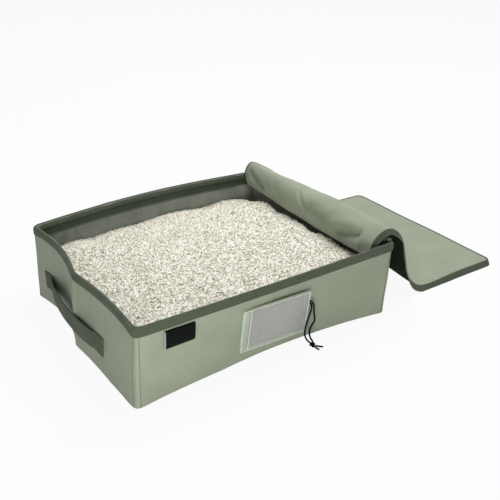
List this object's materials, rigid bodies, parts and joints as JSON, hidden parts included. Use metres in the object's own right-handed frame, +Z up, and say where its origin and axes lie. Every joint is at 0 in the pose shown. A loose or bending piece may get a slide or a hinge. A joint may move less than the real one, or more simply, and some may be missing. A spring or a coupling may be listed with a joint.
{
  "type": "portable litter box",
  "caption": "Low rectangular fabric tray on its base, filled with litter; its zip-on lid is folded over one end to the floor; two webbing handles, clear pocket and drawstring pouch.",
  "frame": {"origin": "middle of the tray's underside, on the plane it stands on", "axes": "+X along the tray's long side towards the lid's seam, +Z up, -Y the front that carries the pocket"},
  "size_m": [0.7505, 0.4302, 0.1462],
  "materials": {
    "sage_fabric": "matte",
    "olive_binding": "matte",
    "olive_webbing": "matte",
    "liner_coating": "satin",
    "stiff_board": "matte",
    "zip_nylon": "satin",
    "dark_metal": "satin",
    "black_label": "matte",
    "pale_trim": "matte",
    "clear_film": "gloss",
    "grey_pouch": "matte",
    "black_cord": "matte",
    "litter_grains": "matte"
  },
  "bodies": {
    "tray": {"outer_front": "sage_fabric", "outer_right": "sage_fabric", "outer_back": "sage_fabric", "outer_left": "sage_fabric", "outer_base": "sage_fabric", "front_board_a": "stiff_board", "front_board_b": "stiff_board", "right_board_a": "stiff_board", "right_board_b": "stiff_board", "back_board_a": "stiff_board", "back_board_b": "stiff_board", "left_board_a": "stiff_board", "left_board_b": "stiff_board", "base_board_left": "stiff_board", "base_board_right": "stiff_board", "liner": "liner_coating", "rim_binding": "olive_binding", "box_zip_tape": "olive_binding", "box_zip_coil": "zip_nylon", "lid_hem": "sage_fabric", "handle_left_tab_a": "olive_webbing", "handle_left_tab_b": "olive_webbing", "handle_right_tab_a": "olive_webbing", "handle_right_tab_b": "olive_webbing", "pocket_border_side": "pale_trim", "pocket_border_bottom": "pale_trim", "pocket_border_top": "pale_trim", "pocket_window": "clear_film", "litter": "litter_grains"},
    "slider": {"zip_slider": "dark_metal"},
    "pull": {"zip_pull": "dark_metal"},
    "lid_1": {"lid_panel_1": "sage_fabric"},
    "lid_2": {"lid_panel_2": "sage_fabric"},
    "lid_3": {"lid_panel_3": "sage_fabric", "lid_tape_3_front": "olive_binding", "lid_tape_3_back": "olive_binding"},
    "lid_4": {"lid_panel_4": "sage_fabric", "lid_tape_4_front": "olive_binding", "lid_tape_4_back": "olive_binding"},
    "lid_5": {"lid_panel_5": "sage_fabric", "lid_tape_5_front": "olive_binding", "lid_tape_5_back": "olive_binding"},
    "lid_6": {"lid_panel_6": "sage_fabric", "lid_tape_6_front": "olive_binding", "lid_tape_6_back": "olive_binding"},
    "lid_7": {"lid_panel_7": "sage_fabric", "lid_tape_7_front": "olive_binding", "lid_tape_7_back": "olive_binding"},
    "lid_8": {"lid_panel_8": "sage_fabric", "lid_tape_8": "olive_binding"},
    "left_handle": {"handle_left_strap": "olive_webbing"},
    "right_handle": {"handle_right_strap": "olive_webbing"},
    "label": {"side_label": "black_label"},
    "pouch": {"pouch_bag": "grey_pouch", "pouch_channel": "grey_pouch", "drawstring_left": "black_cord", "drawstring_right": "black_cord", "drawstring_end_left": "black_cord", "drawstring_end_right": "black_cord", "drawstring_knot": "black_cord"}
  },
  "joints": [
    {"name": "lid_fold", "type": "hinge", "parent": "lid_1", "child": "lid_2", "pos_m": [0.20416, 0, 0.10846], "axis": [0, -1, 0], "range_deg": [0, 132]},
    {"name": "lid_bend_1", "type": "hinge", "parent": "tray", "child": "lid_1", "pos_m": [0.2282, 0, 0.1325], "axis": [0, -1, 0], "range_deg": [-45, 0]},
    {"name": "lid_bend_3", "type": "hinge", "parent": "lid_2", "child": "lid_3", "pos_m": [0.20301, 0, 0.13043], "axis": [0, -1, 0], "range_deg": [0, 50]},
    {"name": "lid_bend_4", "type": "hinge", "parent": "lid_3", "child": "lid_4", "pos_m": [0.21858, 0, 0.14495], "axis": [0, -1, 0], "range_deg": [0, 47]},
    {"name": "lid_bend_5", "type": "hinge", "parent": "lid_4", "child": "lid_5", "pos_m": [0.24951, 0, 0.14279], "axis": [0, -1, 0], "range_deg": [0, 32]},
    {"name": "lid_bend_6", "type": "hinge", "parent": "lid_5", "child": "lid_6", "pos_m": [0.27863, 0, 0.12163], "axis": [0, -1, 0], "range_deg": [0, 35]},
    {"name": "lid_bend_7", "type": "hinge", "parent": "lid_6", "child": "lid_7", "pos_m": [0.30632, 0, 0.04122], "axis": [0, -1, 0], "range_deg": [-29, 0]},
    {"name": "lid_bend_8", "type": "hinge", "parent": "lid_7", "child": "lid_8", "pos_m": [0.34155, 0, 0.0095], "axis": [0, -1, 0], "range_deg": [-42, 0]},
    {"name": "zip_slide", "type": "slide", "parent": "tray", "child": "slider", "axis": [-1, 0, 0], "range_m": [0, 0.365]},
    {"name": "pull_swing", "type": "hinge", "parent": "slider", "child": "pull", "pos_m": [0.17223, -0.1754, 0.1063], "axis": [1, 0, 0], "range_deg": [0, 170]},
    {"name": "left_handle_swing", "type": "hinge", "parent": "tray", "child": "left_handle", "pos_m": [-0.21917, 0.04091, 0.064], "axis": [0.0496, 0.9988, 0], "range_deg": [0, 45]},
    {"name": "right_handle_swing", "type": "hinge", "parent": "tray", "child": "right_handle", "pos_m": [0.23028, 0.04072, 0.064], "axis": [0.005, -1, 0], "range_deg": [0, 55]},
    {"name": "label_lift", "type": "hinge", "parent": "tray", "child": "label", "pos_m": [-0.15652, -0.19295, 0.1137], "axis": [-1, 0.0064, 0], "range_deg": [0, 90]},
    {"name": "pouch_slide", "type": "slide", "parent": "tray", "child": "pouch", "axis": [0.9993, -0.0376, 0], "range_m": [0, 0.09]}
  ],
  "couplings": [
    {"joint": "lid_bend_1", "follows": "lid_fold", "ratio": -0.34091},
    {"joint": "lid_bend_3", "follows": "lid_fold", "ratio": 0.37879},
    {"joint": "lid_bend_4", "follows": "lid_fold", "ratio": 0.35606},
    {"joint": "lid_bend_5", "follows": "lid_fold", "ratio": 0.24242},
    {"joint": "lid_bend_6", "follows": "lid_fold", "ratio": 0.26515},
    {"joint": "lid_bend_7", "follows": "lid_fold", "ratio": -0.2197},
    {"joint": "lid_bend_8", "follows": "lid_fold", "ratio": -0.31818}
  ]
}
